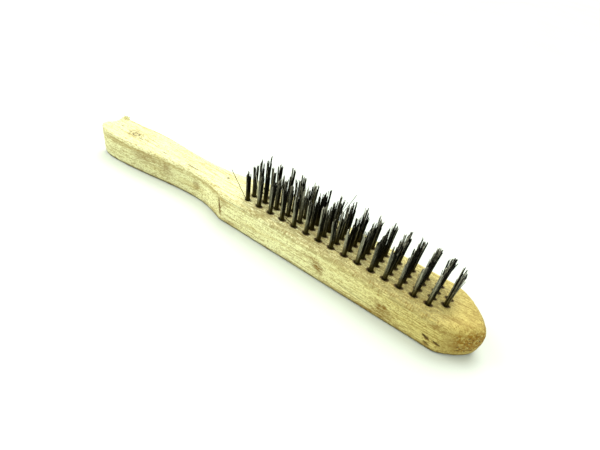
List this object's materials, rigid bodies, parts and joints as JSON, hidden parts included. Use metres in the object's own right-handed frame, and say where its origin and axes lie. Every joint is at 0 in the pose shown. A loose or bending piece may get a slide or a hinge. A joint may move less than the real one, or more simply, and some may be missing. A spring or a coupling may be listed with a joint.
{
  "type": "wire hand brush",
  "caption": "Wooden-handled wire hand brush: a slim one-piece block whose head carries rows of upright steel wire tufts, each folded over a flat anchor in a blind bore.",
  "frame": {"origin": "on the flat back of the block, under the middle of the tuft field", "axes": "+X along the head to the nose, +Y to the side that the handle bends away from, +Z out of the bristle face"},
  "size_m": [0.2897, 0.0429, 0.045],
  "materials": {
    "handle_wood": "planed pale hardwood, unvarnished, with drilled bores",
    "tuft_wire": "drawn, oil-tempered steel wire, dull grey",
    "anchor_steel": "flat steel wire, cropped"
  },
  "bodies": {
    "root": {"handle_block": "handle_wood", "stray_wires": "tuft_wire", "tuft_rank_01": "tuft_wire", "tuft_rank_02": "tuft_wire", "tuft_rank_03": "tuft_wire", "tuft_rank_04": "tuft_wire", "tuft_rank_05": "tuft_wire", "tuft_rank_06": "tuft_wire", "tuft_rank_07": "tuft_wire", "tuft_rank_08": "tuft_wire", "tuft_rank_09": "tuft_wire", "tuft_rank_10": "tuft_wire", "tuft_rank_11": "tuft_wire", "tuft_rank_12": "tuft_wire", "tuft_rank_13": "tuft_wire", "tuft_rank_14": "tuft_wire", "tuft_rank_15": "tuft_wire", "tuft_rank_16": "tuft_wire", "anchor_rank_01": "anchor_steel", "anchor_rank_02": "anchor_steel", "anchor_rank_03": "anchor_steel", "anchor_rank_04": "anchor_steel", "anchor_rank_05": "anchor_steel", "anchor_rank_06": "anchor_steel", "anchor_rank_07": "anchor_steel", "anchor_rank_08": "anchor_steel", "anchor_rank_09": "anchor_steel", "anchor_rank_10": "anchor_steel", "anchor_rank_11": "anchor_steel", "anchor_rank_12": "anchor_steel", "anchor_rank_13": "anchor_steel", "anchor_rank_14": "anchor_steel", "anchor_rank_15": "anchor_steel", "anchor_rank_16": "anchor_steel"}
  },
  "joints": []
}
